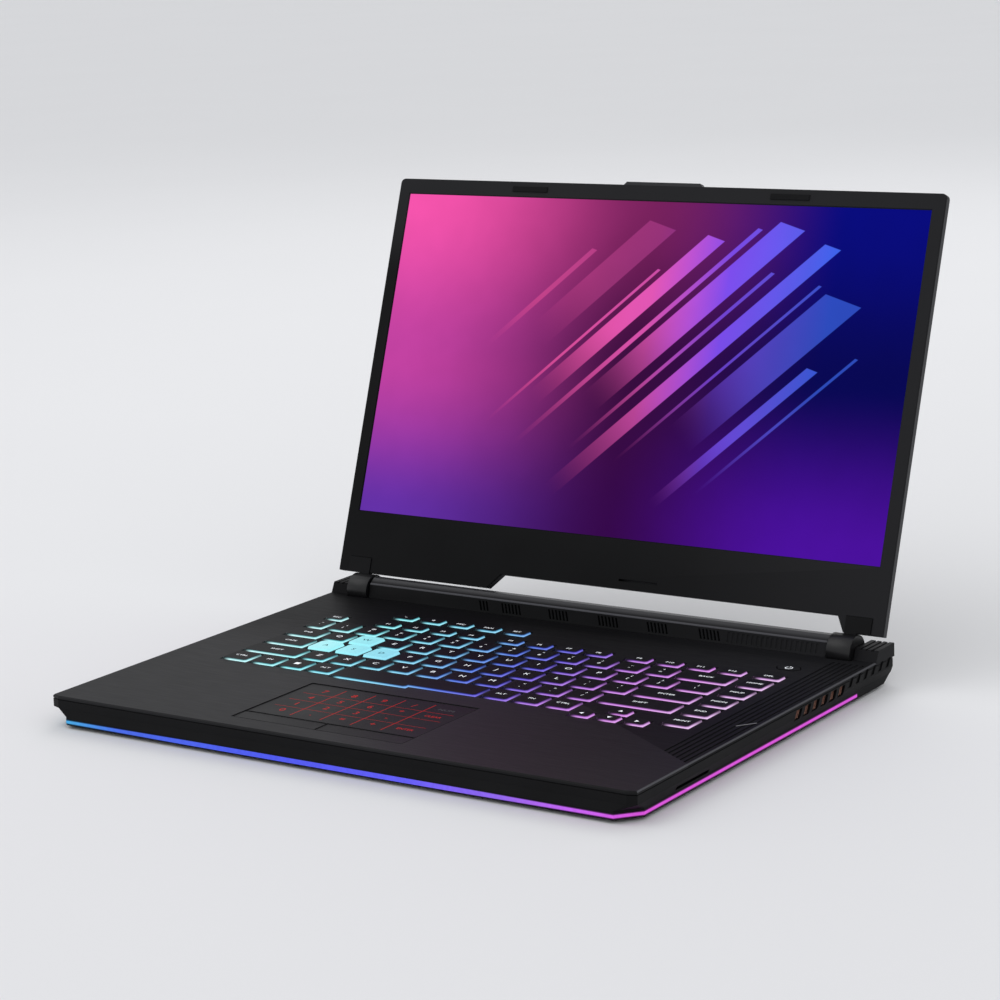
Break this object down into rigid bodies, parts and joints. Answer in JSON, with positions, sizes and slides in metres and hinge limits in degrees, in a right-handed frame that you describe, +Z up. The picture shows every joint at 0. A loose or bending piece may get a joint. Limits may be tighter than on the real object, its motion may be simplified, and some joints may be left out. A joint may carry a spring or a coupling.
{
  "type": "laptop computer",
  "caption": "Open clamshell laptop with a backlit island keyboard, touchpad with click buttons, edge light bar, tilting display lid, side and rear vents.",
  "frame": {"origin": "on the table under the middle of the bounding box of the open machine", "axes": "+X to the right of a person at the keyboard, +Y away from that person towards the hinge, +Z up"},
  "size_m": [0.36, 0.342, 0.2554],
  "materials": {
    "deck_shell": "dark grey, fine diagonal brushed grain",
    "lower_shell": "black matte moulded",
    "lid_shell": "dark anodised, diagonal brushed",
    "bezel_plastic": "black fine texture",
    "hinge_plastic": "dark satin",
    "screen_glass": "matte display film",
    "key_plastic": "black top, lit side walls",
    "clear_key_plastic": "translucent, lit",
    "light_guide": "frosted light guide, lit",
    "touch_surface": "smooth matte",
    "rubber": "matte",
    "copper": "bare copper",
    "steel": "plated",
    "aluminium_sheet": "plain sheet",
    "circuit_board": "solder mask",
    "battery_wrap": "black film",
    "inner_plastic": "moulded"
  },
  "bodies": {
    "base": {"top_deck": "deck_shell", "side_band": "lower_shell", "lower_band": "lower_shell", "bottom_cover": "lower_shell", "light_bar": "light_guide", "rubber_feet": "rubber", "bottom_screws": "steel", "hinge_bar": "hinge_plastic", "hinge_brackets": "steel", "rear_grilles": "lower_shell", "rear_port_plate": "lower_shell", "keyboard_plate": "aluminium_sheet", "touchpad": "touch_surface", "fan_housings": "inner_plastic", "fin_stacks": "copper", "heat_pipes": "copper", "motherboard": "circuit_board", "battery_pack": "battery_wrap", "memory_modules": "circuit_board", "ssd_module": "circuit_board", "wireless_card": "circuit_board", "speakers": "inner_plastic", "usb_a_ports": "steel", "audio_jack": "inner_plastic", "network_port": "steel", "hdmi_port": "steel", "usb_c_port": "steel", "power_inlet": "inner_plastic"},
    "lid": {"lid_cover": "lid_shell", "screen_bezel": "bezel_plastic", "display_panel": "screen_glass", "backlight_unit": "aluminium_sheet", "hinge_knuckles": "hinge_plastic", "hinge_pins": "steel", "lid_hinge_arms": "steel", "lid_bumpers": "rubber"},
    "touchpad_left_button": {"touchpad_left_button": "touch_surface"},
    "touchpad_right_button": {"touchpad_right_button": "touch_surface"},
    "power_button": {"power_button": "key_plastic"},
    "right_fan_rotor": {"right_fan_rotor": "inner_plastic"},
    "left_fan_rotor": {"left_fan_rotor": "inner_plastic"},
    "hot_keys": {"hot_keys": "key_plastic"},
    "function_keys": {"function_keys": "key_plastic"},
    "number_row_keys": {"number_row_keys": "key_plastic"},
    "upper_row_keys": {"upper_row_keys": "key_plastic"},
    "w_key": {"w_key": "clear_key_plastic"},
    "home_row_keys": {"home_row_keys": "key_plastic"},
    "a_key": {"a_key": "clear_key_plastic"},
    "s_key": {"s_key": "clear_key_plastic"},
    "d_key": {"d_key": "clear_key_plastic"},
    "enter_key": {"enter_key": "key_plastic"},
    "lower_row_keys": {"lower_row_keys": "key_plastic"},
    "shift_keys": {"shift_keys": "key_plastic"},
    "bottom_row_keys": {"bottom_row_keys": "key_plastic"},
    "space_bar": {"space_bar": "key_plastic"},
    "side_column_keys": {"side_column_keys": "key_plastic"},
    "up_arrow_key": {"up_arrow_key": "key_plastic"},
    "down_arrow_key": {"down_arrow_key": "key_plastic"},
    "left_arrow_key": {"left_arrow_key": "key_plastic"},
    "right_arrow_key": {"right_arrow_key": "key_plastic"}
  },
  "joints": [
    {"name": "lid_hinge", "type": "hinge", "parent": "base", "child": "lid", "pos_m": [0, 0.08106, 0.019], "axis": [-1, 0, 0], "range_deg": [-110, 20]},
    {"name": "right_fan_spin", "type": "hinge", "parent": "base", "child": "right_fan_rotor", "pos_m": [0.115, 0.03166, 0.008], "axis": [0, 0, 1], "continuous": true},
    {"name": "left_fan_spin", "type": "hinge", "parent": "base", "child": "left_fan_rotor", "pos_m": [-0.115, 0.03166, 0.008], "axis": [0, 0, 1], "continuous": true},
    {"name": "hot_keys_press", "type": "slide", "parent": "base", "child": "hot_keys", "axis": [0, 0, -1], "range_m": [0, 0.0014], "stiffness_N_per_m": 2000},
    {"name": "function_keys_press", "type": "slide", "parent": "base", "child": "function_keys", "axis": [0, 0, -1], "range_m": [0, 0.0014], "stiffness_N_per_m": 5200},
    {"name": "number_row_keys_press", "type": "slide", "parent": "base", "child": "number_row_keys", "axis": [0, 0, -1], "range_m": [0, 0.0014], "stiffness_N_per_m": 5600},
    {"name": "upper_row_keys_press", "type": "slide", "parent": "base", "child": "upper_row_keys", "axis": [0, 0, -1], "range_m": [0, 0.0014], "stiffness_N_per_m": 5200},
    {"name": "w_key_press", "type": "slide", "parent": "base", "child": "w_key", "axis": [0, 0, -1], "range_m": [0, 0.0014], "stiffness_N_per_m": 400},
    {"name": "home_row_keys_press", "type": "slide", "parent": "base", "child": "home_row_keys", "axis": [0, 0, -1], "range_m": [0, 0.0014], "stiffness_N_per_m": 3600},
    {"name": "a_key_press", "type": "slide", "parent": "base", "child": "a_key", "axis": [0, 0, -1], "range_m": [0, 0.0014], "stiffness_N_per_m": 400},
    {"name": "s_key_press", "type": "slide", "parent": "base", "child": "s_key", "axis": [0, 0, -1], "range_m": [0, 0.0014], "stiffness_N_per_m": 400},
    {"name": "d_key_press", "type": "slide", "parent": "base", "child": "d_key", "axis": [0, 0, -1], "range_m": [0, 0.0014], "stiffness_N_per_m": 400},
    {"name": "enter_key_press", "type": "slide", "parent": "base", "child": "enter_key", "axis": [0, 0, -1], "range_m": [0, 0.0014], "stiffness_N_per_m": 400},
    {"name": "lower_row_keys_press", "type": "slide", "parent": "base", "child": "lower_row_keys", "axis": [0, 0, -1], "range_m": [0, 0.0014], "stiffness_N_per_m": 4000},
    {"name": "shift_keys_press", "type": "slide", "parent": "base", "child": "shift_keys", "axis": [0, 0, -1], "range_m": [0, 0.0014], "stiffness_N_per_m": 800},
    {"name": "bottom_row_keys_press", "type": "slide", "parent": "base", "child": "bottom_row_keys", "axis": [0, 0, -1], "range_m": [0, 0.0014], "stiffness_N_per_m": 2800},
    {"name": "space_bar_press", "type": "slide", "parent": "base", "child": "space_bar", "axis": [0, 0, -1], "range_m": [0, 0.0014], "stiffness_N_per_m": 400},
    {"name": "side_column_keys_press", "type": "slide", "parent": "base", "child": "side_column_keys", "axis": [0, 0, -1], "range_m": [0, 0.0014], "stiffness_N_per_m": 2400},
    {"name": "up_arrow_key_press", "type": "slide", "parent": "base", "child": "up_arrow_key", "axis": [0, 0, -1], "range_m": [0, 0.0014], "stiffness_N_per_m": 400},
    {"name": "down_arrow_key_press", "type": "slide", "parent": "base", "child": "down_arrow_key", "axis": [0, 0, -1], "range_m": [0, 0.0014], "stiffness_N_per_m": 400},
    {"name": "left_arrow_key_press", "type": "slide", "parent": "base", "child": "left_arrow_key", "axis": [0, 0, -1], "range_m": [0, 0.0014], "stiffness_N_per_m": 400},
    {"name": "right_arrow_key_press", "type": "slide", "parent": "base", "child": "right_arrow_key", "axis": [0, 0, -1], "range_m": [0, 0.0014], "stiffness_N_per_m": 400},
    {"name": "touchpad_left_button_press", "type": "slide", "parent": "base", "child": "touchpad_left_button", "axis": [0, 0, -1], "range_m": [0, 0.0006], "stiffness_N_per_m": 1000},
    {"name": "touchpad_right_button_press", "type": "slide", "parent": "base", "child": "touchpad_right_button", "axis": [0, 0, -1], "range_m": [0, 0.0006], "stiffness_N_per_m": 1000},
    {"name": "power_button_press", "type": "slide", "parent": "base", "child": "power_button", "axis": [0, 0, -1], "range_m": [0, 0.0008], "stiffness_N_per_m": 1000}
  ]
}
